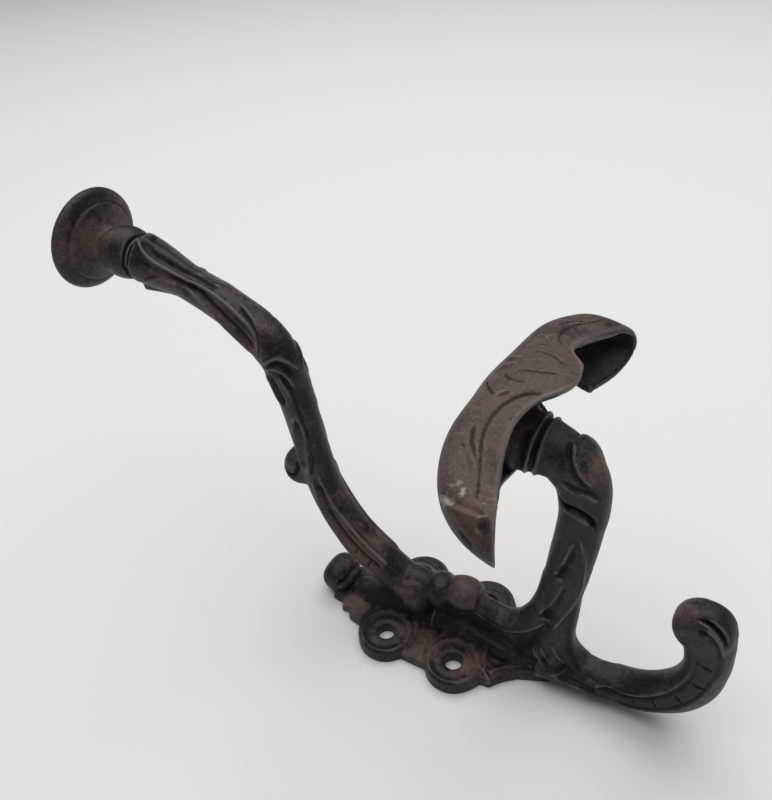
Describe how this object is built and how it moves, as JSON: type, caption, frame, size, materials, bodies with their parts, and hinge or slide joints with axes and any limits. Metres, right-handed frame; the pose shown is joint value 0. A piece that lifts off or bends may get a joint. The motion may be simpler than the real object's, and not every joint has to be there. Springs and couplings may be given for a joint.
{
  "type": "coat hook",
  "caption": "Cast iron coat and hat hook: screw plate with scroll bosses, long upper arm ending in a round knob, middle arm with a hollow shell-shaped rest, and a curled lower hook.",
  "frame": {"origin": "centre of the four screw holes, on the flat back of the wall plate", "axes": "+Z out from the wall, +X down the wall towards the lower hook, +Y across the plate"},
  "size_m": [0.2405, 0.1128, 0.1543],
  "materials": {
    "iron": "dark worn patina"
  },
  "bodies": {
    "root": {"coat_hook": "iron"}
  },
  "joints": []
}
